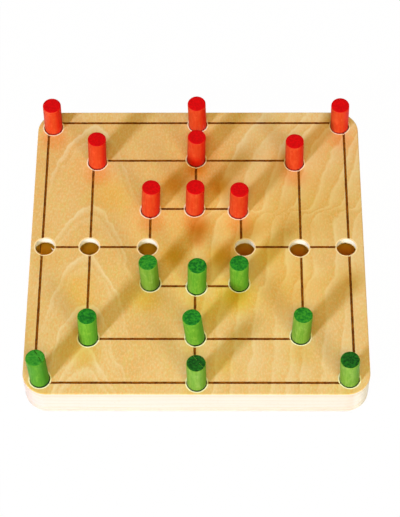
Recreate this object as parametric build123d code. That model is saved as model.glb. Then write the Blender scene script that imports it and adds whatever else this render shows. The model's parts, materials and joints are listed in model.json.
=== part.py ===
"""Peg board box for nine men's morris: three wooden layers, a base that swivels, and 18 pegs."""

from build123d import *
from math import radians, sqrt, tan
import os

os.makedirs("parts", exist_ok=True)

# Driving dimensions, mm. The origin is the middle of the base's underside, +Z is up,
# and the player with the green pegs sits at -Y.

# The three squares of the game, as half widths to the middle of their lines.
inner_line_reach = 19.2
inner_to_middle_line = 25.05
middle_to_outer_line = 20.15
line_width = 0.9
line_depth = 0.3

# The board round them. The pattern isn't quite in its middle.
edge_margin = 5.6
pattern_shift_x = -0.7
pattern_shift_y = -0.35
corner_radius = 10.0
edge_round = 0.4
top_thickness = 3.5
base_thickness = 3.2
frame_wall = 3.0
thinnest_wall = 1.0

# The pegs and what they stand in.
peg_diameter = 7.85
peg_length = 28.0
peg_edge = 0.25
hole_clearance = 0.4
rim_width = 0.42
rim_depth = 0.12
foot_room = 0.85
storage_clearance = 0.35
standing_gap = 0.05

# The screw that the base turns on.
screw_diameter = 3.0
screw_core_diameter = 2.1
screw_head_diameter = 6.0
screw_length = 9.0
screw_pitch = 1.35
screw_tip_length = 2.0
screw_sink = 0.2
cross_width = 0.9
cross_length = 3.4
cross_depth = 1.2
swivel_gap = 0.1
swivel_clearance = 0.05
boss_radius = 5.0
pivot_from_corner_hole = 12.5

# Holes are drilled by hand: how far each ring's corner and side holes lie inside its line,
# and how far some holes stray from there, by column, row.
corner_hole_inset = {"outer": 1.8, "middle": 1.15, "inner": 0.9}
side_hole_inset = {"outer": 0.9, "middle": 0.05, "inner": -0.8}
hole_stray = {
    ("outer", -1, 1): (0.0, -0.5),
    ("outer", 0, 1): (0.6, 0.2),
    ("outer", 1, 1): (0.1, 0.1),
    ("outer", -1, 0): (0.2, 0.3),
    ("outer", 1, 0): (-0.2, 0.0),
    ("outer", -1, -1): (0.5, -0.1),
    ("outer", 0, -1): (0.9, -0.8),
    ("outer", 1, -1): (-0.4, 0.0),
    ("middle", -1, 1): (0.4, 0.4),
    ("middle", 0, 1): (0.0, 0.8),
    ("middle", 1, 1): (-0.6, 0.0),
    ("middle", -1, 0): (-0.4, 0.3),
    ("middle", 1, 0): (-0.6, -0.5),
    ("middle", -1, -1): (-0.3, -0.6),
    ("middle", 0, -1): (0.3, 0.7),
    ("middle", 1, -1): (0.0, 0.2),
    ("inner", -1, 1): (-1.0, 0.4),
    ("inner", 0, 1): (-0.5, -0.6),
    ("inner", 1, 1): (-0.2, -0.1),
    ("inner", -1, 0): (-0.1, 0.0),
    ("inner", 1, 0): (0.7, -0.1),
    ("inner", -1, -1): (-0.3, 0.6),
    ("inner", 0, -1): (0.6, 0.5),
    ("inner", 1, -1): (0.0, 0.4),
}

# The holes are loose, so each peg leans: degrees towards +X and towards +Y.
peg_lean = {
    ("outer", -1, 1): (1.5, -1.2),
    ("outer", 0, 1): (-1.1, -3.2),
    ("outer", 1, 1): (-2.0, -3.2),
    ("middle", -1, 1): (2.0, 1.2),
    ("middle", 0, 1): (1.4, 0.2),
    ("middle", 1, 1): (-1.4, -1.0),
    ("inner", -1, 1): (2.7, 1.1),
    ("inner", 0, 1): (1.6, -0.4),
    ("inner", 1, 1): (1.0, -0.6),
    ("inner", -1, -1): (-1.7, -0.1),
    ("inner", 0, -1): (1.4, 0.4),
    ("inner", 1, -1): (-0.8, -0.8),
    ("middle", -1, -1): (1.3, 1.7),
    ("middle", 0, -1): (-4.3, -0.7),
    ("middle", 1, -1): (1.2, 1.1),
    ("outer", -1, -1): (-2.0, 2.0),
    ("outer", 0, -1): (-0.4, -0.4),
    ("outer", 1, -1): (-2.6, -1.3),
}

# Worked out from these.
line_reach = {"inner": inner_line_reach}
line_reach["middle"] = line_reach["inner"] + inner_to_middle_line
line_reach["outer"] = line_reach["middle"] + middle_to_outer_line
board_reach = line_reach["outer"] + edge_margin
peg_radius = peg_diameter / 2
hole_radius = peg_radius + hole_clearance / 2
frame_height = peg_diameter + storage_clearance

frame_z = base_thickness + swivel_gap
top_z = frame_z + frame_height
board_z = top_z + top_thickness

columns = {-1: "left", 0: "centre", 1: "right"}
colours = {1: "red", -1: "green"}


def hole_place(ring, column, row):
    """The middle of one hole: column and row are -1, 0 or 1, and not both 0."""
    inset = corner_hole_inset if column and row else side_hole_inset
    reach = line_reach[ring] - inset[ring]
    stray_x, stray_y = hole_stray.get((ring, column, row), (0, 0))
    return pattern_shift_x + column * reach + stray_x, pattern_shift_y + row * reach + stray_y


holes = {
    (ring, column, row): hole_place(ring, column, row)
    for ring in line_reach
    for column in columns
    for row in (-1, 0, 1)
    if column or row
}

corner_hole_x, corner_hole_y = holes["outer", -1, 1]
pivot_x = corner_hole_x + pivot_from_corner_hole
pivot_y = board_reach - frame_wall - boss_radius


def rounded_square(reach, radius):
    return RectangleRounded(2 * reach, 2 * reach, radius)


def layer(bottom, thickness):
    """One layer of the box, with the board's own outline."""
    return Pos(0, 0, bottom) * extrude(rounded_square(board_reach, corner_radius), thickness)


def outline_edges(solid, z):
    return solid.edges().filter_by_position(Axis.Z, z, z)


def line_grooves():
    """The three squares and the four lines that join them, as one sunk sketch."""
    grooves = Sketch()
    for reach in line_reach.values():
        outside = 2 * reach + line_width
        inside = 2 * reach - line_width
        grooves += Rectangle(outside, outside) - Rectangle(inside, inside)
    spoke = line_reach["outer"] - line_reach["inner"]
    spoke_middle = (line_reach["outer"] + line_reach["inner"]) / 2
    for side in (-1, 1):
        grooves += Pos(side * spoke_middle, 0) * Rectangle(spoke, line_width)
        grooves += Pos(0, side * spoke_middle) * Rectangle(line_width, spoke)
    grooves = Pos(pattern_shift_x, pattern_shift_y, board_z - line_depth) * grooves
    return extrude(grooves, 2 * line_depth)


def peg_hole():
    """What one drilled hole, with its shallow sanded rim, takes out of the top plate."""
    drill = Cylinder(hole_radius, 2 * top_thickness)
    rim = Cone(
        hole_radius,
        hole_radius + 2 * rim_width,
        2 * rim_depth,
        align=(Align.CENTER, Align.CENTER, Align.MIN),
    )
    return Pos(0, 0, board_z) * drill + Pos(0, 0, board_z - rim_depth) * rim


def top_plate():
    plate = layer(top_z, top_thickness)
    plate = fillet(outline_edges(plate, board_z), edge_round)
    cut = peg_hole()
    drilled = [Pos(x, y, 0) * cut for x, y in holes.values()]
    return plate - line_grooves() - drilled


def storage_hollow():
    """The frame's hollow: a square with room for the feet of the outer pegs."""
    hollow_reach = board_reach - frame_wall
    hollow = rounded_square(hollow_reach, max(corner_radius - frame_wall, peg_edge))
    for (ring, column, row), (x, y) in holes.items():
        if ring == "outer":
            hollow += Pos(x, y) * Circle(hole_radius + foot_room)
    limit = rounded_square(board_reach - thinnest_wall, corner_radius - thinnest_wall)
    boss = Pos(pivot_x, pivot_y) * Circle(boss_radius)
    web = Rectangle(2 * boss_radius, boss_radius + frame_wall, align=(Align.CENTER, Align.MIN))
    boss += Pos(pivot_x, pivot_y) * web
    return (hollow & limit) - boss


def frame():
    ring = layer(frame_z, frame_height)
    ring -= Pos(0, 0, frame_z) * extrude(storage_hollow(), frame_height)
    pilot_depth = screw_sink + screw_length - frame_z
    pilot = Cylinder(
        screw_core_diameter / 2, pilot_depth, align=(Align.CENTER, Align.CENTER, Align.MIN)
    )
    return ring - Pos(pivot_x, pivot_y, frame_z) * pilot


def countersink(bottom, radius, depth):
    """A cone that narrows upwards at 45 degrees, from a radius at its bottom."""
    return Pos(0, 0, bottom) * Cone(
        radius, radius - depth, depth, align=(Align.CENTER, Align.CENTER, Align.MIN)
    )


def base_plate():
    plate = layer(0, base_thickness)
    plate = fillet(outline_edges(plate, 0), edge_round)
    bore_radius = screw_diameter / 2 + swivel_clearance
    seat_radius = screw_head_diameter / 2 + swivel_clearance
    bore = Cylinder(bore_radius, 4 * base_thickness)
    mouth = Cylinder(seat_radius, 2 * screw_sink)
    seat = countersink(screw_sink, seat_radius, seat_radius - bore_radius)
    return plate - Pos(pivot_x, pivot_y, 0) * (bore + mouth + seat)


def pivot_screw():
    """A countersunk wood screw, head down, with ring-shaped thread crests."""
    head_radius = screw_head_diameter / 2
    shank_radius = screw_diameter / 2
    core_radius = screw_core_diameter / 2
    neck_z = screw_sink + head_radius - shank_radius
    tip_z = screw_sink + screw_length
    thread_z = frame_z + swivel_gap
    turns = int((tip_z - screw_tip_length - thread_z) / screw_pitch)
    points = [(0, screw_sink), (head_radius, screw_sink), (shank_radius, neck_z)]
    points += [(shank_radius, thread_z - swivel_gap)]
    for turn in range(turns):
        foot = thread_z + turn * screw_pitch
        points += [(core_radius, foot), (shank_radius, foot + screw_pitch / 2)]
    points += [(core_radius, thread_z + turns * screw_pitch), (0, tip_z)]
    profile = make_face(Polyline(*points, close=True))
    screw = revolve(Plane.XZ * profile, Axis.Z)
    for angle in (0, 90):
        slot = Box(cross_length, cross_width, 2 * cross_depth)
        screw -= Pos(0, 0, screw_sink) * Rot(0, 0, angle) * slot
    return Pos(pivot_x, pivot_y, 0) * screw


def peg_plane(hole):
    """The plane of a standing peg's foot: its normal is the peg's own axis."""
    x, y = holes[hole]
    lean_x, lean_y = peg_lean[hole]
    axis = Vector(tan(radians(lean_x)), tan(radians(lean_y)), 1).normalized()
    tilt_rise = peg_radius * sqrt(1 - axis.Z**2)
    foot_z = base_thickness + standing_gap + tilt_rise
    hole_middle = Vector(x, y, board_z - top_thickness / 2)
    foot = hole_middle - axis * ((hole_middle.Z - foot_z) / axis.Z)
    return Plane(origin=foot, x_dir=(1, 0, -axis.X / axis.Z), z_dir=axis)


def peg(hole):
    rod = Cylinder(peg_radius, peg_length, align=(Align.CENTER, Align.CENTER, Align.MIN))
    rod = chamfer(rod.edges().filter_by(GeomType.CIRCLE), peg_edge)
    return peg_plane(hole) * rod


def peg_name(hole):
    ring, column, row = hole
    return f"{colours[row]}_peg_{ring}_{columns[column]}"


nodes = {
    "top_plate": top_plate(),
    "frame": frame(),
    "base_plate": base_plate(),
    "pivot_screw": pivot_screw(),
}
nodes |= {peg_name(hole): peg(hole) for hole in peg_lean}

for name, shape in nodes.items():
    export_step(shape, f"parts/{name}.step")
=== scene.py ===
import bmesh
import bpy
import json
from math import cos, pi, radians, sin
from mathutils import Matrix, Vector, noise


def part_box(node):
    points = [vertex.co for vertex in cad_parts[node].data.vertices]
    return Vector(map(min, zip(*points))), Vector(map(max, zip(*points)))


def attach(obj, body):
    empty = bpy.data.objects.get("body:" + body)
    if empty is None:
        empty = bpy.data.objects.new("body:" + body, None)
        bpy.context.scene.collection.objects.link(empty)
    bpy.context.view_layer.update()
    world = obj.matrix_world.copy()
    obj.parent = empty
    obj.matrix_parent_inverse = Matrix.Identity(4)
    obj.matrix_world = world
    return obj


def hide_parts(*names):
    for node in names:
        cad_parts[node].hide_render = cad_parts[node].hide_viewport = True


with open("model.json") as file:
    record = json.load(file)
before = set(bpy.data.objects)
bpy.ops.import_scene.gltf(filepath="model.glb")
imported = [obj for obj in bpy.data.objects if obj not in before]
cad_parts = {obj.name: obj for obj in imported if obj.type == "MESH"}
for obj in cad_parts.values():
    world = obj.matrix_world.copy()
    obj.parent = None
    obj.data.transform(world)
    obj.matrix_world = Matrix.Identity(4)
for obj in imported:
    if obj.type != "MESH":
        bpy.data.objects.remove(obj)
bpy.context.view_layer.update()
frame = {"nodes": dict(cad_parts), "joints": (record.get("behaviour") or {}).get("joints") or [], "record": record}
mm = 0.001
print("frame loaded:", len(frame["nodes"]), "nodes")

# Heights that several pieces and materials share, in mm.
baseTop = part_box("base_plate")[1][2] / mm
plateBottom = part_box("top_plate")[0][2] / mm
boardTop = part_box("top_plate")[1][2] / mm


def linearColour(code):
    # An sRGB hex value as the linear colour that a socket takes.
    parts = [int(code[place:place + 2], 16) / 255 for place in (1, 3, 5)]
    return [p / 12.92 if p <= 0.04045 else ((p + 0.055) / 1.055) ** 2.4 for p in parts] + [1.0]


def addNode(tree, kind, inputs=(), output=0, **settings):
    # Adds one node, sets or links its inputs (a list, or a dictionary by name or number),
    # and gives back one of its outputs.
    node = tree.nodes.new("ShaderNode" + kind)
    for name, value in settings.items():
        setattr(node, name, value)
    for key, value in inputs.items() if isinstance(inputs, dict) else enumerate(inputs):
        if isinstance(value, bpy.types.NodeSocket):
            tree.links.new(value, node.inputs[key])
        elif isinstance(value, str):
            node.inputs[key].default_value = linearColour(value)
        else:
            node.inputs[key].default_value = value
    return node.outputs[output]


def startMaterial(name, **sockets):
    # An empty material with its shader, whose plain values are set on the shader itself.
    material = bpy.data.materials.new(name)
    material.use_nodes = True
    tree = material.node_tree
    tree.nodes.clear()
    shader = tree.nodes.new("ShaderNodeBsdfPrincipled")
    out = tree.nodes.new("ShaderNodeOutputMaterial")
    tree.links.new(shader.outputs[0], out.inputs[0])
    for key, value in sockets.items():
        shader.inputs[key.replace("_", " ")].default_value = value
    return material, tree, shader


def dress(obj, material):
    obj.data.materials.clear()
    obj.data.materials.append(material)


def placeInMm(tree):
    # Object coordinates in mm, so that each pattern is written at its real size.
    place = addNode(tree, "TexCoord", output="Object")
    return addNode(tree, "VectorMath", {0: place, 3: 1000.0}, operation="SCALE")


def woodNoise(tree, place, size, detail=2.0, roughness=0.5, output=0, shift=(0, 0, 0)):
    # Noise whose grains are about size (x, y, z) mm.
    scaled = addNode(tree, "Mapping", {0: place, 1: shift, 3: [1 / s for s in size]})
    inputs = {"Vector": scaled, "Scale": 1.0, "Detail": detail, "Roughness": roughness}
    return addNode(tree, "TexNoise", inputs, output)


# Settings that many nodes share.
smooth = {"interpolation_type": "SMOOTHSTEP"}
colour = {"output": 2, "data_type": "RGBA"}
number = {"output": 0, "data_type": "FLOAT"}


def tintWhere(tree, wood, tint, pattern, *limits, **settings):
    # Lays a tint over the wood where a pattern rises: the limits are the pattern's two values,
    # and the tint's share at each of them if that isn't 0 and 1.
    share = addNode(tree, "MapRange", [pattern, *limits], **smooth)
    return addNode(tree, "Mix", {0: share, 6: wood, 7: tint}, **settings, **colour)


# The camera

cameraFacts = {
    "elevation": 57.98,  # degrees
    "azimuth": 0.99,
    "roll": -0.84,
    "distance": 746.5,  # mm
    "target": (1.23, -6.02, boardTop),
    "lens": 124.29,
    "sensor": 36,
    "clip": (0.01, 20),  # m
}


def makeCamera(facts):
    up, turn, roll = (radians(facts[key]) for key in ("elevation", "azimuth", "roll"))
    back = Vector((cos(up) * sin(turn), -cos(up) * cos(turn), sin(up)))
    right = (-back).cross(Vector((0, 0, 1))).normalized()
    top = right.cross(-back)
    axes = Matrix((cos(roll) * right + sin(roll) * top, cos(roll) * top - sin(roll) * right, back))
    data = bpy.data.cameras.new("camera")
    data.sensor_width = facts["sensor"]
    data.lens = facts["lens"]
    data.clip_start, data.clip_end = facts["clip"]
    camera = bpy.data.objects.new("camera", data)
    bpy.context.scene.collection.objects.link(camera)
    place = (Vector(facts["target"]) + facts["distance"] * back) * mm
    camera.matrix_world = Matrix.Translation(place) @ axes.transposed().to_4x4()
    bpy.context.scene.camera = camera


makeCamera(cameraFacts)
print("camera placed")

# The light: a low lamp from the front left, a weaker one from the front right, a wide high one
# from the front, a faint wide one from behind, and a warm sky

lampFacts = {
    "leftLamp": {
        "azimuth": 52.5,  # degrees that its shadows turn from +X towards +Y
        "elevation": 25.5,
        "distance": 1.4,  # m
        "size": 0.22,  # m across
        "share": 0.492,  # of the light on a flat top
        "colour": "#CEDCFF",
    },
    "rightLamp": {
        "azimuth": 120,
        "elevation": 23,
        "distance": 1.4,
        "size": 0.42,
        "share": 0.18,
        "colour": "#EAF0EE",
    },
    "highLamp": {
        "azimuth": 90,
        "elevation": 57,
        "distance": 1.4,
        "size": 0.5,
        "share": 0.326,
        "colour": "#FFEB90",
    },
    "backLamp": {
        "azimuth": 270,
        "elevation": 20,
        "distance": 1.4,
        "size": 1.2,
        "share": 0.045,
        "colour": "#FFF0C8",
    },
}
skyFacts = {"colour": "#FFDC6C", "strength": 0.2}
floorFacts = {
    "size": 6,  # m
    "drop": 0.1,  # mm below the box, so that the two faces never coincide
    "grain": (3, 3, 3),  # mm
    "paper": "#FAFAFA",
    "paperPale": "#FDFDFD",
    "lift": 0.99,  # towards white, where it is seen directly
}


def makeLamp(name, facts):
    turn, up = radians(facts["azimuth"]), radians(facts["elevation"])
    towards = Vector((-cos(turn) * cos(up), -sin(turn) * cos(up), sin(up)))
    data = bpy.data.lights.new(name, "AREA")
    data.shape = "DISK"
    data.size = facts["size"]
    data.color = linearColour(facts["colour"])[:3]
    # The power at which this share of white light falls on a flat top.
    data.energy = facts["share"] * (pi * facts["distance"]) ** 2 / sin(up)
    lamp = bpy.data.objects.new(name, data)
    bpy.context.scene.collection.objects.link(lamp)
    turned = towards.to_track_quat("Z", "Y").to_matrix().to_4x4()
    place = Vector((0, 0, boardTop * mm)) + facts["distance"] * towards
    lamp.matrix_world = Matrix.Translation(place) @ turned


def seenDirectly(tree):
    # 1 for camera, mirror and see-through rays, 0 for rays that only carry light.
    rays = tree.nodes.new("ShaderNodeLightPath")
    both = addNode(
        tree, "Math", [rays.outputs["Is Camera Ray"], rays.outputs["Is Glossy Ray"]], operation="ADD"
    )
    return addNode(
        tree, "Math", [both, rays.outputs["Is Transmission Ray"]], operation="ADD", use_clamp=True
    )


def makeSky(facts):
    sky = bpy.data.worlds.new("sky")
    bpy.context.scene.world = sky
    sky.use_nodes = True
    tree = sky.node_tree
    tree.nodes.clear()
    soft = addNode(tree, "Background", {0: facts["colour"], 1: facts["strength"]})
    white = addNode(tree, "Background", {0: "#FFFFFF", 1: 1.0})
    mixed = addNode(tree, "MixShader", {0: seenDirectly(tree), 1: soft, 2: white})
    out = tree.nodes.new("ShaderNodeOutputWorld")
    tree.links.new(mixed, out.inputs[0])


def makeFloor(facts):
    bpy.ops.mesh.primitive_plane_add(size=facts["size"], location=(0, 0, -facts["drop"] * mm))
    floor = bpy.context.object
    floor.name = "floor"
    material = bpy.data.materials.new("whitePaperFloor")
    material.use_nodes = True
    tree = material.node_tree
    tree.nodes.clear()
    grain = woodNoise(tree, placeInMm(tree), facts["grain"])
    paper = addNode(tree, "Mix", {0: grain, 6: facts["paper"], 7: facts["paperPale"]}, **colour)
    matt = addNode(tree, "BsdfDiffuse", {0: paper})
    glow = addNode(tree, "Emission", {0: "#FFFFFF", 1: 1.0})
    # Seen directly, the paper is lifted towards white, and its shadow stays, only paler.
    lift = addNode(tree, "Math", [seenDirectly(tree), facts["lift"]], operation="MULTIPLY")
    mixed = addNode(tree, "MixShader", {0: lift, 1: matt, 2: glow})
    # From below the paper is clear, so that the underside of the box can be looked at.
    below = addNode(tree, "NewGeometry", output="Backfacing")
    mixed = addNode(tree, "MixShader", {0: below, 1: mixed, 2: addNode(tree, "BsdfTransparent")})
    out = tree.nodes.new("ShaderNodeOutputMaterial")
    tree.links.new(mixed, out.inputs[0])
    dress(floor, material)


for lampName, lamp in lampFacts.items():
    makeLamp(lampName, lamp)
makeSky(skyFacts)
makeFloor(floorFacts)
bpy.context.scene.view_settings.view_transform = "Standard"
print("lamps, sky and floor made")

# Where the holes are, from the frame itself

pegAxes = {j["child"]: Vector(j["axis"]) for j in frame["joints"] if j["type"] == "slide"}


def holeCentres():
    # The holes of the red pegs, of the green pegs, and the empty ones, in mm. A standing
    # peg's axis meets its hole's axis halfway through the plate.
    middle = (plateBottom + boardTop) / 2
    centres = {"red": [], "green": [], "empty": []}
    for name, axis in pegAxes.items():
        low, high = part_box(name)
        centre = (low + high) / 2 / mm
        centre -= axis * (centre.z - middle) / axis.z
        centres[name.split("_")[0]].append((centre.x, centre.y))
    for opening in frame["record"]["physics"]["openings"]:
        if opening["name"].startswith("empty_hole"):
            low, high = (Vector(corner) / mm for corner in opening["box_m"])
            centre = (low + high) / 2
            centres["empty"].append((centre.x, centre.y))
    return centres


# The top plate: three-ply birch, clear lacquer on its rotary-cut face

plateFacts = {
    "tan": "#E9C88A",
    "deepTan": "#DCB269",
    "yellowTan": "#E0C474",
    "orange": "#ECB368",
    "warmBack": "#E6B068",  # the half with the red pegs is a little redder
    "paleStreak": "#F0DEB2",
    "burn": "#965400",
    "darkBurn": "#683400",
    "rim": "#FFE4B4",
    "redRim": "#FFE8D0",
    "greenRim": "#F8F4C8",
    "edgeShade": "#D09A48",  # the rounded edge, painted darker: painted shade that damps the light it catches
    "drilled": "#FCF3DA",
    "holeWallShade": "#CEA52E",  # painted shade at the foot of a hole's wall
    "bare": "#D8C7B8",
    "core": "#D2BFAC",
    "glue": "#C7B099",
    # Painted reflections of the pegs in the lacquer, in front of each peg: where one lies from a peg's hole, mm,
    # and what it leaves of the light.
    "redRub": ((0.4, -7.0), "#FFE2D2"),
    "greenRub": ((0.0, -8.0), "#FAF4D8"),
    "redGapShade": "#A02A10",  # the walls of the pegs' holes: painted shade in the gap, in the pegs' stain colour
    "greenGapShade": "#122A06",
    "archAxis": -46.0,  # mm: where the nested arches of the veneer have their middle
    "archReach": 16.0,  # mm: how wide the tips are
    "archTips": (  # where each tip stands along Y, mm, and how pale it is
        (61.5, 1.0), (54.0, 0.3), (20.5, 1.0), (14.0, 0.4), (-5.0, 1.0), (-11.0, 0.4),
        (-30.0, 1.0), (-36.0, 0.4), (-50.0, 1.0), (-57.0, 0.6),
    ),
    "archWidth": 4.6,  # mm over which an arch fades in
    "ringShare": 0.78,  # how far a ring goes from the tan to the pale streak
    # On the right the growth rings run upwards, and step to the right where the curve jumps:
    # x of a ring that starts at 0, against y.
    "leanCurve": (
        (-70, 0), (-40, 3), (-20, 5), (-17, 7), (0, 8), (16, 11), (20, 19), (30, 22), (45, 26), (70, 40)
    ),
    "leanLines": (-10.0, -1.0, 7.0, 14.0, 21.5, 30.0, 36.5, 41.5, 50.0, 58.0),  # their X in front
    # Patches of tone on the lacquer, and painted shade and painted red bounce light where the pegs' shadows cross:
    # the middle, the radii at which a patch starts to fade and is gone, mm, and what it leaves of the light.
    "tonesAndPaintedShade": (
        ((6, -2), (10, 58), "#FFFDDC"),
        ((-66, -44), (4, 32), "#F8F7F2"),
        ((4, 36), (4, 26), "#FFF5EE"),
        ((24, 44), (4, 24), "#FAF8F8"),
        ((0, 3), (0, 6), "#FFD8BC"),
        ((14, -1), (0, 9), "#FFF0E6"),
        ((38, 44), (0, 12), "#FFF0E6"),
        ((1, 50), (0, 13), "#FFEEDC"),
        ((52, 54), (0, 15), "#FFF3E8"),
        ((-20, 22), (0, 11), "#FFEEE0"),
        ((21, 27), (0, 12), "#FFEEE0"),
        ((-11, 31), (0, 9), "#FDDC90"),
        ((9, 30), (0, 9), "#FBDA80"),
        ((0, 40), (0, 7), "#FFE896"),
        ((1, 9), (0, 8), "#FFDC9A"),
        ((-10, -5), (0, 8), "#FFEF9C"),
        ((10, -5), (0, 9), "#FFEE98"),
        ((24, 10), (0, 10), "#F8ECCC"),
        ((16, -24), (0, 14), "#FFFFA4"),
        ((4, -33), (0, 10), "#FFFFD4"),
        ((-23, -26), (0, 10), "#FFFFD4"),
        ((30, -4), (0, 10), "#FFFCD4"),
        ((40, -20), (4, 22), "#FFF6D8"),
        ((50, 22), (0, 36), "#F8F1D0"),
        ((-37, 26), (0, 16), "#FFF9D0"),
        ((62, -16), (0, 14), "#F8EED0"),
        ((-62, -6), (0, 9), "#FAF0D4"),
        ((-50, -20), (0, 13), "#FFF9D4"),
        ((11, -57), (0, 9), "#FEFBD4"),
        ((-46, -30), (0, 10), "#FFFACA"),
        ((-48, -50), (0, 12), "#FCF6CE"),
    ),
    "rimRadius": 4.66,  # mm: the bare ring round each hole
    "rimDepth": 0.16,
    "lineReaches": (19.2, 44.25, 64.4),  # mm: half the width of each square
    "lineHalfWidth": 0.47,
    "lineMiddle": (-0.7, -0.35, 0),
    "grooveDepth": 0.3,
}


def ringPaleness(tree, level, low, span, rings):
    # How pale the growth rings are at a level, which runs from low over a span. The rings are
    # pairs of a level and a paleness.
    ramp = tree.nodes.new("ShaderNodeValToRGB")
    stops = ramp.color_ramp.elements
    stops[0].color = stops[1].color = (0, 0, 0, 1)
    for at, pale in rings:
        stops.new((at - low) / span).color = (pale, pale, pale, 1)
    scaled = addNode(tree, "Math", [level, 1 / span, -low / span], operation="MULTIPLY_ADD")
    tree.links.new(scaled, ramp.inputs[0])
    return ramp.outputs[0]


def archRings(tree, spot, facts):
    # Nested arches: their legs fall away from the tips and fade.
    x = addNode(tree, "SeparateXYZ", [spot], "X")
    y = addNode(tree, "SeparateXYZ", [spot], "Y")
    reach = facts["archReach"]
    away = addNode(tree, "Math", [x, 1 / reach, -facts["archAxis"] / reach], operation="MULTIPLY_ADD")
    root = addNode(tree, "Math", [away, away, 1.0], operation="MULTIPLY_ADD")
    root = addNode(tree, "Math", [root], operation="SQRT")
    fall = addNode(tree, "Math", [root, 4 * reach, -4 * reach], operation="MULTIPLY_ADD")
    level = addNode(tree, "Math", [fall, y], operation="ADD")
    rings = []
    for tip, strength in facts["archTips"]:
        rings += [(tip - facts["archWidth"], 0.0), (tip, strength), (tip + 1.2, 0.0)]
    pale = ringPaleness(tree, level, -75.0, 150.0, rings)
    fade = addNode(tree, "MapRange", [fall, 4.0, 44.0, 1.0, 0.18], **smooth)
    return addNode(tree, "Math", [pale, fade], operation="MULTIPLY")


def leaningRings(tree, spot, facts):
    # Steep lines that lean right, each sharp on its left and soft on its right.
    x = addNode(tree, "SeparateXYZ", [spot], "X")
    y = addNode(tree, "SeparateXYZ", [spot], "Y")
    lean = tree.nodes.new("ShaderNodeFloatCurve")
    curve = lean.mapping.curves[0]
    side, reach = 140, 50.0  # mm of Y and of X that the curve's square stands for
    spots = [((along + side / 2) / side, across / reach) for along, across in facts["leanCurve"]]
    curve.points[0].location = spots[0]
    curve.points[-1].location = spots[-1]
    for between in spots[1:-1]:
        curve.points.new(*between)
    for point in curve.points:
        point.handle_type = "AUTO_CLAMPED"
    lean.mapping.update()
    height = addNode(tree, "Math", [y, 1 / side, 0.5], operation="MULTIPLY_ADD")
    tree.links.new(height, lean.inputs["Value"])
    start = addNode(tree, "Math", [lean.outputs[0], -reach, x], operation="MULTIPLY_ADD")
    rings = []
    for line in facts["leanLines"]:
        rings += [(line - 0.6, 0.0), (line + 0.2, 1.0), (line + 1.4, 0.6)]
    return ringPaleness(tree, start, -20.0, 90.0, rings)


def paleRings(tree, place, facts):
    # The pale growth rings of a peeled veneer, from 0 to 1: arches left, lines right.
    broad = woodNoise(tree, place, (22, 30, 22), 1.0, 0.5, 1)
    close = woodNoise(tree, place, (4.5, 9.0, 4.5), 2.0, 0.55, 1, (7, 3, 1))
    broad = addNode(tree, "VectorMath", [broad, (9, 9, 0), (-4.5, -4.5, 0)], operation="MULTIPLY_ADD")
    close = addNode(tree, "VectorMath", [close, (4, 5, 0), (-2, -2.5, 0)], operation="MULTIPLY_ADD")
    spot = addNode(tree, "VectorMath", [place, broad], operation="ADD")
    spot = addNode(tree, "VectorMath", [spot, close], operation="ADD")
    x = addNode(tree, "SeparateXYZ", [place], "X")
    side = addNode(tree, "MapRange", [x, -16.0, 6.0], **smooth)
    y = addNode(tree, "SeparateXYZ", [place], "Y")
    fade = addNode(tree, "MapRange", [y, -40.0, 0.0, 0.62, 0.95], **smooth)
    leaning = addNode(tree, "Math", [leaningRings(tree, spot, facts), fade], operation="MULTIPLY")
    rings = addNode(tree, "Mix", {0: side, 2: archRings(tree, spot, facts), 3: leaning}, **number)
    patchy = woodNoise(tree, place, (14, 22, 14), 2.0, 0.5, 0, (0, 5, 9))
    there = addNode(tree, "MapRange", [patchy, 0.32, 0.56, 0.42, 1.0], **smooth)
    return addNode(tree, "Math", [rings, there], operation="MULTIPLY")


def nearestDistance(tree, place, centres):
    # mm to the nearest of some upright axes.
    flat = addNode(tree, "VectorMath", [place, (1, 1, 0)], operation="MULTIPLY")
    nearest = None
    for x, y in centres:
        away = addNode(tree, "VectorMath", [flat, (x, y, 0)], "Value", operation="DISTANCE")
        if nearest:
            away = addNode(tree, "Math", [nearest, away], operation="MINIMUM")
        nearest = away
    return nearest


def lineDistance(tree, place, facts):
    # mm to the middle of the nearest line: three squares and four spokes.
    moved = addNode(tree, "VectorMath", [place, facts["lineMiddle"]], operation="SUBTRACT")
    moved = addNode(tree, "VectorMath", [moved], operation="ABSOLUTE")
    x = addNode(tree, "SeparateXYZ", [moved], "X")
    y = addNode(tree, "SeparateXYZ", [moved], "Y")
    far = addNode(tree, "Math", [x, y], operation="MAXIMUM")
    near = addNode(tree, "Math", [x, y], operation="MINIMUM")
    inner, middle, outer = facts["lineReaches"]
    before = addNode(tree, "Math", [inner, far], operation="SUBTRACT")
    beyond = addNode(tree, "Math", [far, outer], operation="SUBTRACT")
    spoke = addNode(tree, "Math", [near, before], operation="MAXIMUM")
    distance = addNode(tree, "Math", [spoke, beyond], operation="MAXIMUM")
    for reach in (inner, middle, outer):
        off = addNode(tree, "Math", [far, reach], operation="SUBTRACT")
        off = addNode(tree, "Math", [off], operation="ABSOLUTE")
        distance = addNode(tree, "Math", [distance, off], operation="MINIMUM")
    return distance


rightLightFacts = {
    "tint": "#F2E4DB",  # wood divided by this turns paler and keeps its grain
    "start": (62.0, 64.0),  # mm along X: no hole has a wall that looks right beyond this
}


def paintLightOnRight(tree, place, wood, facts):
    # The faces that look right, turned away from the lamps, are painted paler: painted light.
    x = addNode(tree, "SeparateXYZ", [place], "X")
    right = addNode(tree, "SeparateXYZ", [addNode(tree, "NewGeometry", output="Normal")], "X")
    outer = addNode(tree, "MapRange", [x, *facts["start"]])
    share = addNode(tree, "MapRange", [right, 0.08, 0.6], **smooth)
    share = addNode(tree, "Math", [share, outer], operation="MULTIPLY")
    return addNode(tree, "Mix", {0: share, 6: wood, 7: facts["tint"]}, blend_type="DIVIDE", **colour)


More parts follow.
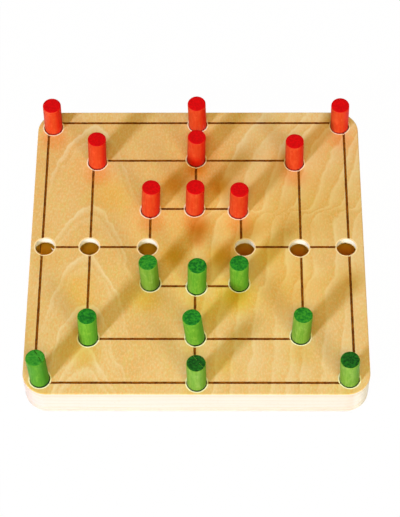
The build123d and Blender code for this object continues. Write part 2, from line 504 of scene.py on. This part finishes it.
def plyColour(tree, place, bottom, top, facts):
    # The cut edge of three plies: the core shows end grain, and glue lines are thin and darker.
    z = addNode(tree, "SeparateXYZ", [place], "Z")
    waver = woodNoise(tree, place, (9, 9, 9))
    z = addNode(tree, "Math", [waver, 0.3, z], operation="MULTIPLY_ADD")
    level = addNode(tree, "MapRange", [z, bottom + 0.15, top + 0.15])
    core = addNode(tree, "Math", [level, 0.5, 0.17], operation="COMPARE")
    fibres = woodNoise(tree, place, (7, 7, 0.3), 3.0, 0.6)
    pores = woodNoise(tree, place, (0.35, 0.35, 0.5), 2.0, 0.6)
    long = tintWhere(tree, facts["bare"], facts["core"], fibres, 0.35, 0.7)
    short = tintWhere(tree, facts["core"], facts["glue"], pores, 0.4, 0.75)
    wood = addNode(tree, "Mix", {0: core, 6: long, 7: short}, **colour)
    below = addNode(tree, "Math", [level, 0.33, 0.022], operation="COMPARE")
    above = addNode(tree, "Math", [level, 0.67, 0.022], operation="COMPARE")
    seam = addNode(tree, "Math", [below, above], operation="MAXIMUM")
    seam = addNode(tree, "Math", [seam, 0.45], operation="MULTIPLY")
    wood = addNode(tree, "Mix", {0: seam, 6: wood, 7: facts["glue"]}, **colour)
    # Faces that look right are painted paler: painted light.
    return paintLightOnRight(tree, place, wood, rightLightFacts)


def facingUp(tree, low=0.86, high=0.96, sign=1.0):
    # 1 where a face looks up, or down with a sign of -1.
    z = addNode(tree, "SeparateXYZ", [addNode(tree, "NewGeometry", output="Normal")], "Z")
    z = addNode(tree, "Math", [z, sign], operation="MULTIPLY")
    return addNode(tree, "MapRange", [z, low, high], **smooth)


def veneerFace(tree, place, facts):
    # Tan, redder towards the back, with pale rings, blotches, fine fibres and specks.
    y = addNode(tree, "SeparateXYZ", [place], "Y")
    tone = woodNoise(tree, place, (18, 30, 18), 2.0)
    patch = woodNoise(tree, place, (5, 9, 5), 2.0, 0.6, 0, (6, 1, 3))
    mottle = woodNoise(tree, place, (1.1, 1.9, 1.0), 2.0, 0.65, 0, (4, 0, 2))
    fleck = woodNoise(tree, place, (0.7, 1.3, 1.0), 2.0, 0.6, 0, (1, 8, 3))
    fibre = woodNoise(tree, place, (0.32, 7.0, 1.0), 3.0, 0.65)
    face = tintWhere(tree, facts["tan"], facts["deepTan"], tone, 0.3, 0.7)
    face = tintWhere(tree, face, facts["warmBack"], y, -30.0, 60.0, 0.0, 0.4)
    face = tintWhere(tree, face, facts["paleStreak"], y, 62.0, 68.0, 0.0, 0.4)
    face = tintWhere(tree, face, facts["yellowTan"], patch, 0.42, 0.68, 0.0, 0.75)
    face = tintWhere(tree, face, facts["orange"], mottle, 0.42, 0.68, 0.0, 0.9)
    face = tintWhere(tree, face, facts["deepTan"], fibre, 0.35, 0.72, 0.0, 0.5)
    rings = paleRings(tree, place, facts)
    share = addNode(tree, "Math", [rings, facts["ringShare"]], operation="MULTIPLY")
    face = addNode(tree, "Mix", {0: share, 6: face, 7: facts["paleStreak"]}, **colour)
    return tintWhere(tree, face, facts["paleStreak"], fleck, 0.4, 0.7, 0.0, 0.35), fibre


def faceWithTintsAndPaintedLight(tree, place, holes, facts):
    # The veneer with patches of tone, painted reflections of the pegs, painted shade where their shadows cross and
    # on the rounded edge, and its fibres.
    face, fibre = veneerFace(tree, place, facts)
    # Painted reflections of the red and green pegs in the lacquer, in front of each peg.
    for kind in ("red", "green"):
        (right, back), reflectionTint = facts[kind + "Rub"]
        away = nearestDistance(tree, place, [(x + right, y + back) for x, y in holes[kind]])
        face = tintWhere(tree, face, reflectionTint, away, 2.0, 8.0, 1.0, 0.0, blend_type="MULTIPLY")
    # Patches of tone, with painted shade and painted red bounce light where the pegs' shadows cross.
    for middle, (near, far), left in facts["tonesAndPaintedShade"]:
        away = nearestDistance(tree, place, [middle])
        face = tintWhere(tree, face, left, away, near, far, 1.0, 0.0, blend_type="MULTIPLY")
    # The rounded edge is painted darker: painted shade that damps the light it catches.
    share = addNode(tree, "MapRange", [facingUp(tree, 0.45, 0.95), 0.0, 1.0, 0.4, 0.0])
    return addNode(tree, "Mix", {0: share, 6: face, 7: facts["edgeShade"]}, **colour), fibre


def drilledWood(tree, place, rag, near, hole, facts):
    # Bare wood: cut edges, hole walls and the sanded ring round each hole. It also gives back
    # how far a point is on such a ring.
    bare = plyColour(tree, place, plateBottom, boardTop, facts)
    z = addNode(tree, "SeparateXYZ", [place], "Z")
    # A drill leaves its hole paler, out to past the sanded ring.
    nearHole = addNode(tree, "MapRange", [hole, 5.2, 5.4, 1.0, 0.0])
    share = addNode(tree, "Math", [nearHole, 0.8], operation="MULTIPLY")
    bare = addNode(tree, "Mix", {0: share, 6: bare, 7: facts["drilled"]}, **colour)
    # Painted shade down each hole's wall, reaching higher up the side walls than the far wall.
    turned = addNode(tree, "SeparateXYZ", [addNode(tree, "NewGeometry", output="Normal")], "Y")
    low = addNode(tree, "Math", [turned, -1.3, -1.3], operation="MULTIPLY_ADD")
    low = addNode(tree, "Math", [low, z], operation="ADD")
    low = addNode(tree, "Math", [rag, 0.8, low], operation="MULTIPLY_ADD")
    share = addNode(tree, "MapRange", [low, boardTop - 2.2, boardTop - 3.5], **smooth)
    share = addNode(tree, "Math", [share, nearHole], operation="MULTIPLY")
    bare = addNode(tree, "Mix", {0: share, 6: bare, 7: facts["holeWallShade"]}, **colour)
    # The walls that a peg rubs on are painted dark: painted shade in the gap round it, in the peg's stain colour.
    rimFoot = boardTop - facts["rimDepth"]
    deep = addNode(tree, "MapRange", [z, rimFoot, boardTop - 0.4], **smooth)
    rim = facts["rim"]
    for kind in ("red", "green"):
        share = addNode(tree, "MapRange", [near[kind], 4.3, 4.5, 1.0, 0.0], **smooth)
        share = addNode(tree, "Math", [share, deep], operation="MULTIPLY")
        bare = addNode(tree, "Mix", {0: share, 6: bare, 7: facts[kind + "GapShade"]}, **colour)
        share = addNode(tree, "MapRange", [near[kind], 5.2, 5.4, 1.0, 0.0])
        rim = addNode(tree, "Mix", {0: share, 6: rim, 7: facts[kind + "Rim"]}, **colour)
    nearTop = addNode(tree, "MapRange", [z, rimFoot, boardTop - 0.13], **smooth)
    beside = addNode(tree, "MapRange", [hole, 4.25, 4.4], **smooth)
    onRim = addNode(tree, "Math", [nearTop, beside], operation="MAXIMUM")
    onRim = addNode(tree, "Math", [onRim, nearHole], operation="MULTIPLY")
    return addNode(tree, "Mix", {0: onRim, 6: bare, 7: rim}, **colour), onRim


def inBurntLine(tree, place, rag, hole, facts):
    # 1 in the burnt lines, whose sides are ragged and which stop at the holes' rims.
    line = lineDistance(tree, place, facts)
    line = addNode(tree, "Math", [rag, 0.24, line], operation="MULTIPLY_ADD")
    edge = facts["lineHalfWidth"] + 0.17
    onLine = addNode(tree, "MapRange", [line, edge - 0.05, edge + 0.05, 1.0, 0.0], **smooth)
    z = addNode(tree, "SeparateXYZ", [place], "Z")
    floor = boardTop - facts["grooveDepth"]
    inFace = addNode(tree, "MapRange", [z, floor - 0.06, floor - 0.03], **smooth)
    edge = facts["rimRadius"]
    offHole = addNode(tree, "MapRange", [hole, edge + 0.03, edge + 0.15], **smooth)
    onLine = addNode(tree, "Math", [onLine, inFace], operation="MULTIPLY")
    return addNode(tree, "Math", [onLine, offHole], operation="MULTIPLY")


def makeTopPly(facts):
    # Clear lacquer gives the face a satin shine, and the cut wood is duller.
    material, tree, shader = startMaterial("lacqueredBirchPly", IOR=1.5, Specular_IOR_Level=0.2)
    place = placeInMm(tree)
    holes = holeCentres()
    near = {kind: nearestDistance(tree, place, holes[kind]) for kind in ("red", "green", "empty")}
    hole = addNode(tree, "Math", [near["empty"], near["red"]], operation="MINIMUM")
    hole = addNode(tree, "Math", [hole, near["green"]], operation="MINIMUM")
    rag = woodNoise(tree, place, (0.7, 1.0, 0.7), 2.0, 0.6, 0, (2, 2, 2))
    hole = addNode(tree, "Math", [rag, 0.26, hole], operation="MULTIPLY_ADD")
    face, fibre = faceWithTintsAndPaintedLight(tree, place, holes, facts)
    bare, onRim = drilledWood(tree, place, rag, near, hole, facts)
    edge = facts["rimRadius"]
    offRim = addNode(tree, "MapRange", [hole, edge + 0.06, edge + 0.22], **smooth)
    lacquered = addNode(tree, "Math", [facingUp(tree, 0.12, 0.35), offRim], operation="MULTIPLY")
    z = addNode(tree, "SeparateXYZ", [place], "Z")
    onTop = addNode(tree, "MapRange", [z, plateBottom + 0.1, plateBottom + 0.2], **smooth)
    lacquered = addNode(tree, "Math", [lacquered, onTop], operation="MULTIPLY")
    wood = addNode(tree, "Mix", {0: lacquered, 6: bare, 7: face}, **colour)
    # The floor of a burnt line goes darker in places.
    onLine = inBurntLine(tree, place, rag, hole, facts)
    char = woodNoise(tree, place, (2.5, 2.5, 2.5), 3.0, 0.7, 0, (3, 6, 1))
    burn = tintWhere(tree, facts["darkBurn"], facts["burn"], char, 0.35, 0.65)
    wood = addNode(tree, "Mix", {0: onLine, 6: wood, 7: burn}, **colour)
    tree.links.new(wood, shader.inputs["Base Color"])
    shine = addNode(tree, "MapRange", [fibre, 0.3, 0.7, 0.4, 0.5])
    rough = addNode(tree, "Mix", {0: lacquered, 2: 0.75, 3: shine}, **number)
    rough = addNode(tree, "Mix", {0: onLine, 2: rough, 3: 0.85}, **number)
    tree.links.new(rough, shader.inputs["Roughness"])
    relief = addNode(tree, "Math", [onLine, char, fibre], operation="MULTIPLY_ADD")
    bump = addNode(tree, "Bump", {"Height": relief, "Strength": 0.35, "Distance": 0.00008})
    # The furry fibres of a sanded rim catch the light as a flat face does.
    up = addNode(tree, "Mix", {0: onRim, 4: bump, 5: (0, 0, 1)}, 1, data_type="VECTOR")
    tree.links.new(up, shader.inputs["Normal"])
    return material


dress(frame["nodes"]["top_plate"], makeTopPly(plateFacts))
print("top plate finished")

# The frame: one board of beech, milled out, its grain along X

frameFacts = {
    "pale": "#D6C3B6",
    "ring": "#CFBAA5",
    "fleck": "#C7A67C",
    "hollowShadeGold": "#FFBE3C",  # the walls of the hollow, painted the bright gold that its shade shows
    "reach": 70.0,  # mm: the outline, as half its width and its corner radius
    "corner": 10.0,
    "ringSpacing": 3.1,  # mm
    "pith": (0, -64, -46),  # the middle of the rings, mm
}


def makeFrameBeech(facts):
    # Milled and lightly sanded, so it is pale and matt, with soft rings and short brown flecks.
    material, tree, shader = startMaterial("milledBeech", IOR=1.5)
    place = placeInMm(tree)
    bend = woodNoise(tree, place, (60, 14, 14), 2.0, 0.5, 1)
    bend = addNode(tree, "VectorMath", [bend, (0, 5, 5)], operation="MULTIPLY")
    bent = addNode(tree, "VectorMath", [place, bend], operation="ADD")
    bent = addNode(tree, "VectorMath", [bent, facts["pith"]], operation="SUBTRACT")
    bent = addNode(tree, "VectorMath", [bent, (0, 1, 1)], operation="MULTIPLY")
    age = addNode(tree, "VectorMath", [bent], "Value", operation="LENGTH")
    age = addNode(tree, "Math", [age, 1 / facts["ringSpacing"]], operation="MULTIPLY")
    age = addNode(tree, "Math", [age], operation="FRACT")
    late = addNode(tree, "MapRange", [age, 0.45, 0.95, 0.0, 1.0], **smooth)
    streak = woodNoise(tree, place, (22, 1.0, 0.5), 3.0, 0.6)
    fleck = woodNoise(tree, place, (1.6, 0.25, 0.25), 1.0, 0.5, 0, (5, 5, 5))
    late = addNode(tree, "Math", [late, 0.55], operation="MULTIPLY")
    wood = addNode(tree, "Mix", {0: late, 6: facts["pale"], 7: facts["ring"]}, **colour)
    wood = tintWhere(tree, wood, facts["ring"], streak, 0.5, 0.75, 0.0, 0.6)
    wood = tintWhere(tree, wood, facts["fleck"], fleck, 0.64, 0.74, 0.0, 0.7)
    # How far inside the outline a point lies says which walls are the hollow's.
    flat = addNode(tree, "VectorMath", [place, (1, 1, 0)], operation="MULTIPLY")
    flat = addNode(tree, "VectorMath", [flat], operation="ABSOLUTE")
    straight = facts["reach"] - facts["corner"]
    past = addNode(tree, "VectorMath", [flat, (straight, straight, 0)], operation="SUBTRACT")
    past = addNode(tree, "VectorMath", [past, (0, 0, 0)], operation="MAXIMUM")
    past = addNode(tree, "VectorMath", [past], "Value", operation="LENGTH")
    inside = addNode(tree, "MapRange", [past, facts["corner"] - 0.7, facts["corner"] - 0.5, 1.0, 0.0])
    # Faces that look right are painted paler: painted light.
    wood = paintLightOnRight(tree, place, wood, rightLightFacts)
    # The hollow's walls are painted a bright gold: the colour of its shade, lifted.
    wood = addNode(tree, "Mix", {0: inside, 6: wood, 7: facts["hollowShadeGold"]}, **colour)
    tree.links.new(wood, shader.inputs["Base Color"])
    rough = addNode(tree, "MapRange", [streak, 0.3, 0.7, 0.62, 0.75], **smooth)
    tree.links.new(rough, shader.inputs["Roughness"])
    bump = addNode(tree, "Bump", {"Height": streak, "Strength": 0.3, "Distance": 0.0001})
    tree.links.new(bump, shader.inputs["Normal"])
    return material


dress(frame["nodes"]["frame"], makeFrameBeech(frameFacts))
print("frame finished")

# The base plate: thin birch ply, bare, golden inside the box

baseFacts = {
    "bare": "#D8C7B8",
    "core": "#D2BFAC",
    "glue": "#C7B099",
    "face": "#E3CC9C",
    "streak": "#EFDFBC",
    "inside": "#FFB022",
    "insideStreak": "#FFC654",
    "insideFibre": "#EE9A14",
    "lightPool": "#FFD850",  # a painted pool of light, where lamplight falls in through an empty hole
    "lightPoolSpot": (0, 12.0),  # mm from the hole's middle
    "shadeBelowRightHoles": "#E4B49A",  # painted shade below the right-hand holes: what it leaves of the light
    "shadeBelowRightSpot": (0, 3.5),
    "archAxis": 12.0,  # mm, and the rest as for the top plate
    "archReach": 20.0,
    "archTips": ((55.0, 1.0), (33.0, 1.0), (8.0, 1.0), (-14.0, 1.0), (-41.0, 1.0)),
    "archWidth": 5.5,
}


def makeBasePly(facts):
    # Bare birch is pale and matt, and its upper face is painted the deep gold that the shaded hollow shows.
    material, tree, shader = startMaterial("bareBirchPly", IOR=1.5)
    place = placeInMm(tree)
    fibre = woodNoise(tree, place, (0.32, 7.0, 1.0), 3.0, 0.65)
    bend = woodNoise(tree, place, (16, 30, 16), 2.0, 0.55, 1, (3, 9, 2))
    bend = addNode(tree, "VectorMath", [bend, (12, 12, 0), (-6, -6, 0)], operation="MULTIPLY_ADD")
    spot = addNode(tree, "VectorMath", [place, bend], operation="ADD")
    streaks = archRings(tree, spot, facts)
    face = addNode(tree, "Mix", {0: streaks, 6: facts["face"], 7: facts["streak"]}, **colour)
    fibrous = addNode(tree, "MapRange", [fibre, 0.4, 0.75, 0.0, 0.4], **smooth)
    face = addNode(tree, "Mix", {0: fibrous, 6: face, 7: facts["core"]}, **colour)
    cut = plyColour(tree, place, 0.0, baseTop, facts)
    wood = addNode(tree, "Mix", {0: facingUp(tree, sign=-1.0), 6: cut, 7: face}, **colour)
    # The inside face is painted the deep gold that the shaded hollow shows.
    inside = addNode(tree, "Mix", {0: streaks, 6: facts["inside"], 7: facts["insideStreak"]}, **colour)
    inside = addNode(tree, "Mix", {0: fibrous, 6: inside, 7: facts["insideFibre"]}, **colour)
    holes = holeCentres()["empty"]
    # A painted pool of light on the floor beyond each empty hole.
    right, back = facts["lightPoolSpot"]
    away = nearestDistance(tree, place, [(x + right, y + back) for x, y in holes])
    inside = tintWhere(tree, inside, facts["lightPool"], away, 0.0, 9.0, 0.6, 0.0)
    # Painted shade on the floor below the right-hand holes.
    right, back = facts["shadeBelowRightSpot"]
    away = nearestDistance(tree, place, [(x + right, y + back) for x, y in holes if x > 0])
    inside = tintWhere(
        tree, inside, facts["shadeBelowRightHoles"], away, 0.0, 9.5, 1.0, 0.0, blend_type="MULTIPLY"
    )
    wood = addNode(tree, "Mix", {0: facingUp(tree), 6: wood, 7: inside}, **colour)
    tree.links.new(wood, shader.inputs["Base Color"])
    rough = addNode(tree, "MapRange", [fibre, 0.3, 0.7, 0.6, 0.75], **smooth)
    tree.links.new(rough, shader.inputs["Roughness"])
    bump = addNode(tree, "Bump", {"Height": fibre, "Strength": 0.3, "Distance": 0.00008})
    tree.links.new(bump, shader.inputs["Normal"])
    return material


dress(frame["nodes"]["base_plate"], makeBasePly(baseFacts))
print("base plate finished")

# The screw: zinc-plated steel, with the fine rings of its turning

screwFacts = {"zinc": "#CDD0D2", "dull": "#A9ACAD", "ringPitch": 0.12}  # mm


def makeZincSteel(facts):
    # Plating is bright with a slight cloud.
    material, tree, shader = startMaterial("zincPlatedSteel", Metallic=1.0)
    place = placeInMm(tree)
    cloud = woodNoise(tree, place, (0.9, 0.9, 0.9), 3.0)
    zinc = tintWhere(tree, facts["zinc"], facts["dull"], cloud, 0.35, 0.7)
    tree.links.new(zinc, shader.inputs["Base Color"])
    rough = addNode(tree, "MapRange", [cloud, 0.3, 0.7, 0.26, 0.42], **smooth)
    tree.links.new(rough, shader.inputs["Roughness"])
    fine = woodNoise(tree, place, (0.1, 0.1, facts["ringPitch"]), 2.0)
    bump = addNode(tree, "Bump", {"Height": fine, "Strength": 0.25, "Distance": 0.00003})
    tree.links.new(bump, shader.inputs["Normal"])
    return material


dress(frame["nodes"]["pivot_screw"], makeZincSteel(screwFacts))
print("screw finished")

# The pegs: turned beech dowel, stained; sawn ends drink more stain and go darker

pegFacts = {
    "radius": 3.925,  # mm
    "length": 28.0,
    "sides": 64,
    "rim": 0.3,  # mm, softened
    "rings": 14,  # loops along the rod
    "outOfRound": 0.05,  # mm
    "waveSize": (3, 9),  # mm, across the rod and along it
    "capLoops": (0.9, 0.9, 0.9),  # mm from loop to loop on a sawn end
    "sawRipple": 0.05,  # mm deep
    "rippleSize": 1.1,  # mm long
    "sharpAngle": 35,  # degrees
}

# Drying checks: the turn of the crack's line, how far it passes from the middle, its width
# and its depth, mm.
pegChecks = {
    "green_peg_outer_left": (-59.6, 1.35, 0.3, 0.9),
    "green_peg_outer_centre": (-52.0, 1.1, 0.16, 0.5),
}


def eachOnce(items):
    # In their own order, which a set wouldn't keep from run to run.
    return list(dict.fromkeys(items))


def cutCheck(shape, facts, check):
    # A narrow crack across the upper sawn end: cuts along its sides and its floor, and a cut
    # across it at every mm, so that its floor can wander.
    turn, off, width, depth = check
    along = Vector((cos(radians(turn)), sin(radians(turn)), 0))
    normal = Vector((-along.y, along.x, 0))
    normal = normal if normal.x > 0 else -normal
    half = facts["length"] / 2
    cuts = [(normal * (off + step * width / 2), normal) for step in (-1, 0, 1)]
    cuts += [(along * step, along) for step in (-3, -2, -1, 0, 1, 2, 3)]
    for point, across in cuts:
        faces = [f for f in shape.faces if f.calc_center_median().z > half - 1.2 * facts["rim"]]
        edges = eachOnce(e for f in faces for e in f.edges)
        verts = eachOnce(v for f in faces for v in f.verts)
        bmesh.ops.bisect_plane(shape, geom=verts + edges + faces, plane_co=point, plane_no=across)
    floor = [
        v for v in shape.verts
        if v.co.z > half - 0.01 and abs(v.co.dot(normal) - off) < width / 10
    ]
    for vert in floor:
        vert.co.z -= depth * (0.75 + 0.25 * noise.noise(vert.co))
    touched = eachOnce(f for v in floor for f in v.link_faces)
    bmesh.ops.triangulate(shape, faces=touched)


def makePeg(name, facts, material):
    half = facts["length"] / 2
    shape = bmesh.new()
    bmesh.ops.create_cone(
        shape, cap_ends=True, segments=facts["sides"],
        radius1=facts["radius"], radius2=facts["radius"], depth=facts["length"],
    )
    for ring in range(1, facts["rings"]):
        height = -half + facts["length"] * ring / facts["rings"]
        parts = shape.verts[:] + shape.edges[:] + shape.faces[:]
        bmesh.ops.bisect_plane(shape, geom=parts, plane_co=(0, 0, height), plane_no=(0, 0, 1))
    rims = [e for e in shape.edges if all(abs(abs(v.co.z) - half) < 1e-4 for v in e.verts)]
    bmesh.ops.bevel(
        shape, geom=rims, offset=facts["rim"], segments=3, profile=0.5, affect="EDGES", material=-1
    )
    # Each peg has its own place in the noise, from its name.
    seed = Vector((len(name) * 3.1, sum(map(ord, name)) * 0.37, 0))
    across, along = facts["waveSize"]
    for vert in shape.verts:
        spot = Vector((vert.co.x / across, vert.co.y / across, vert.co.z / along))
        wave = noise.noise(spot + seed)
        vert.co.xy *= 1 - facts["outOfRound"] / facts["radius"] * (0.5 + 0.5 * wave)
    for end in (-1, 1):
        caps = [f for f in shape.faces if f.normal.z * end > 0.99]
        for step in facts["capLoops"]:
            bmesh.ops.inset_region(shape, faces=caps, thickness=step, depth=0)
        for vert in eachOnce(v for f in caps for v in f.verts):
            ripple = noise.noise(vert.co / facts["rippleSize"] + seed)
            vert.co.z -= end * facts["sawRipple"] * (0.5 + 0.5 * ripple)
    if name in pegChecks:
        cutCheck(shape, facts, pegChecks[name])
    bmesh.ops.recalc_face_normals(shape, faces=shape.faces)
    low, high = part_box(name)
    lean = Vector((0, 0, 1)).rotation_difference(pegAxes[name]).to_matrix().to_4x4()
    place = Matrix.Translation((low + high) / 2) @ lean @ Matrix.Scale(mm, 4)
    bmesh.ops.transform(shape, matrix=place, verts=shape.verts)
    mesh = bpy.data.meshes.new(name + "_dowel")
    shape.to_mesh(mesh)
    shape.free()
    for face in mesh.polygons:
        face.use_smooth = True
    mesh.set_sharp_from_angle(angle=radians(facts["sharpAngle"]))
    peg = bpy.data.objects.new(name + "_dowel", mesh)
    bpy.context.scene.collection.objects.link(peg)
    dress(peg, material)
    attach(peg, name)
    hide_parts(name)


def makeStainedBeech(name, facts):
    # Stain soaks in and leaves the wood matt, with little shine.
    material, tree, shader = startMaterial(name, IOR=1.5, Specular_IOR_Level=0.12)
    place = placeInMm(tree)
    streak = woodNoise(tree, place, (0.8, 0.8, 9.0), 3.0, 0.6)
    blotch = woodNoise(tree, place, (1.6, 1.6, 3.2), 3.0, 0.65, 0, (9, 2, 4))
    ray = woodNoise(tree, place, (0.3, 0.3, 1.2), 1.0, 0.5, 0, (1, 2, 3))
    side = tintWhere(tree, facts["side"], facts["sideDeep"], streak, 0.35, 0.68)
    side = tintWhere(tree, side, facts["sidePale"], blotch, 0.46, 0.74, 0.0, 0.8)
    side = tintWhere(tree, side, facts["end"], ray, 0.62, 0.76, 0.0, 0.35)
    # Painted shade: the side turned away from the lamps, and the foot below its level, take a purer, deeper
    # colour.
    right = addNode(tree, "SeparateXYZ", [addNode(tree, "NewGeometry", output="Normal")], "X")
    awayFromLamps = addNode(tree, "MapRange", [right, 0.15, 0.8], **smooth)
    z = addNode(tree, "SeparateXYZ", [place], "Z")
    level = boardTop + facts["footShadeLevel"]
    foot = addNode(tree, "MapRange", [z, level + 3.0, level - 3.0], **smooth)
    shadeShare = addNode(tree, "Math", [awayFromLamps, foot], operation="MAXIMUM")
    fibres = addNode(tree, "MapRange", [streak, 0.35, 0.62, 1.0, 0.8], **smooth)
    shadeShare = addNode(tree, "Math", [shadeShare, fibres], operation="MULTIPLY")
    side = addNode(tree, "Mix", {0: shadeShare, 6: side, 7: facts["awaySideShade"]}, **colour)
    # Painted shade: a peg is dark where it goes into its hole, fading above and below the board's top.
    holeMouthShade = addNode(tree, "MapRange", [z, boardTop + 0.1, boardTop + 1.0, 1.0, 0.0], **smooth)
    deeper = addNode(tree, "MapRange", [z, boardTop - 3.0, boardTop - 0.8, 0.1, 1.0], **smooth)
    holeMouthShade = addNode(tree, "Math", [holeMouthShade, deeper], operation="MULTIPLY")
    side = addNode(tree, "Mix", {0: holeMouthShade, 6: side, 7: facts["holeMouthShade"]}, **colour)
    # The sawn end: pores as dots, and a few dark streaks along the rays.
    dots = woodNoise(tree, place, (1.0, 1.0, 1.0), 3.0, 0.65)
    bands = woodNoise(tree, place, facts["bandSize"], 2.0, 0.6, 0, (2, 7, 5))
    end = tintWhere(tree, facts["end"], facts["endDots"], dots, 0.36, 0.64)
    end = tintWhere(tree, end, facts["endDeep"], bands, *facts["bandRange"])
    for sign in (1.0, -1.0):
        share = facingUp(tree, *facts["endEdge"], sign)
        side = addNode(tree, "Mix", {0: share, 6: side, 7: end}, **colour)
    tree.links.new(side, shader.inputs["Base Color"])
    rough = addNode(tree, "MapRange", [streak, 0.3, 0.7, 0.45, 0.58], **smooth)
    rough = addNode(tree, "Mix", {0: facingUp(tree), 2: rough, 3: 0.7}, **number)
    tree.links.new(rough, shader.inputs["Roughness"])
    relief = addNode(tree, "Math", [streak, dots], operation="ADD")
    bump = addNode(tree, "Bump", {"Height": relief, "Strength": 0.3, "Distance": 0.00008})
    tree.links.new(bump, shader.inputs["Normal"])
    return material


# The painted shade at a peg's foot begins at its foot level, mm above the board's top. An end's edge is where its
# colour gives way to the side's, by how far up a face looks.
redFacts = {
    "side": "#CC4219", "sideDeep": "#C83612", "sidePale": "#D65229", "holeMouthShade": "#8E1204",
    "awaySideShade": "#D81203", "footShadeLevel": -6.0,
    "end": "#E2000A", "endDots": "#CC0008", "endDeep": "#BC0008", "endEdge": (0.75, 0.93),
    "bandSize": (2.5, 0.8, 3.0), "bandRange": (0.5, 0.75, 0.0, 0.5),
}
deepGreenFacts = {
    "side": "#629924", "sideDeep": "#508E1F", "sidePale": "#7CA836", "holeMouthShade": "#0C2A06",
    "awaySideShade": "#469320", "footShadeLevel": -6.0,
    "end": "#2E9426", "endDots": "#0C6420", "endDeep": "#0B5212", "endEdge": (0.93, 0.985),
    "bandSize": (2.5, 0.8, 3.0), "bandRange": (0.48, 0.72, 0.0, 0.7),
}
paleGreenFacts = dict(
    deepGreenFacts, side="#72992F", sideDeep="#608D28", sidePale="#88A448", awaySideShade="#5A8E1E",
    end="#3C9A28", endDots="#147424",
)
freshGreenFacts = dict(
    deepGreenFacts, side="#4C881A", sideDeep="#407F17", sidePale="#629628", awaySideShade="#347E14",
    end="#449C2E", endDots="#2A8426", endDeep="#1A6A1E",
)
soakedGreenFacts = dict(
    paleGreenFacts, end="#1E6E1C", endDots="#0C4412", endDeep="#04300A", bandSize=(1.1, 0.5, 3.0),
    bandRange=(0.5, 0.66, 0.0, 0.85),
)

# Batches of stain differ, and some ends have drunk more of it.
redBeech = makeStainedBeech("redStainedBeech", redFacts)
# red_peg_middle_centre stands in the inner pegs' shadow, and painted shade reaches higher up it.
lowShadeRedBeech = makeStainedBeech("lowShadeRedStainedBeech", dict(redFacts, footShadeLevel=5.5))
deepGreenBeech = makeStainedBeech("deepGreenStainedBeech", deepGreenFacts)
paleGreenBeech = makeStainedBeech("paleGreenStainedBeech", paleGreenFacts)
freshGreenBeech = makeStainedBeech("freshGreenStainedBeech", freshGreenFacts)
soakedGreenBeech = makeStainedBeech("soakedGreenStainedBeech", soakedGreenFacts)
otherFinishes = {
    "red_peg_middle_centre": lowShadeRedBeech,
    "green_peg_inner_left": paleGreenBeech,
    "green_peg_middle_right": paleGreenBeech,
    "green_peg_outer_left": freshGreenBeech,
    "green_peg_outer_centre": soakedGreenBeech,
    "green_peg_outer_right": soakedGreenBeech,
}
for name in pegAxes:
    usual = redBeech if name.startswith("red") else deepGreenBeech
    makePeg(name, pegFacts, otherFinishes.get(name, usual))
print("pegs made:", len(pegAxes))

# A torn fibre in the left-most hole

splinterFacts = {
    "hole": "empty_hole_outer_left",
    # mm from the hole's middle, and from the ground
    "path": ((4.3, -1.75, 14.35), (3.7, -1.35, 14.2), (3.1, -0.7, 14.05), (2.65, 0.05, 14.0)),
    "radii": (0.42, 0.3, 0.2, 0.06),
    "thickness": 0.45,  # as a share of its width
    "sides": 8,
}


def makeSplinter(facts, material):
    openings = {o["name"]: o["box_m"] for o in frame["record"]["physics"]["openings"]}
    low, high = (Vector(corner) / mm for corner in openings[facts["hole"]])
    middle = (low + high) / 2
    shape = bmesh.new()
    points = [Vector(p) + Vector((middle.x, middle.y, 0)) for p in facts["path"]]
    loops = []
    for step, (point, radius) in enumerate(zip(points, facts["radii"])):
        ahead = points[min(step + 1, len(points) - 1)] - points[max(step - 1, 0)]
        turned = ahead.to_track_quat("Z", "Y").to_matrix().to_4x4()
        place = Matrix.Translation(point) @ turned @ Matrix.Diagonal((1.0, facts["thickness"], 1.0, 1.0))
        made = bmesh.ops.create_circle(shape, segments=facts["sides"], radius=radius, matrix=place)
        loops.append(eachOnce(e for v in made["verts"] for e in v.link_edges))
    for first, second in zip(loops, loops[1:]):
        bmesh.ops.bridge_loops(shape, edges=first + second)
    bmesh.ops.holes_fill(shape, edges=[e for e in shape.edges if e.is_boundary])
    bmesh.ops.recalc_face_normals(shape, faces=shape.faces)
    bmesh.ops.transform(shape, matrix=Matrix.Scale(mm, 4), verts=shape.verts)
    mesh = bpy.data.meshes.new("torn_fibre")
    shape.to_mesh(mesh)
    shape.free()
    splinter = bpy.data.objects.new("torn_fibre", mesh)
    bpy.context.scene.collection.objects.link(splinter)
    dress(splinter, material)
    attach(splinter, "box")


makeSplinter(splinterFacts, frame["nodes"]["top_plate"].data.materials[0])
print("torn fibre made")
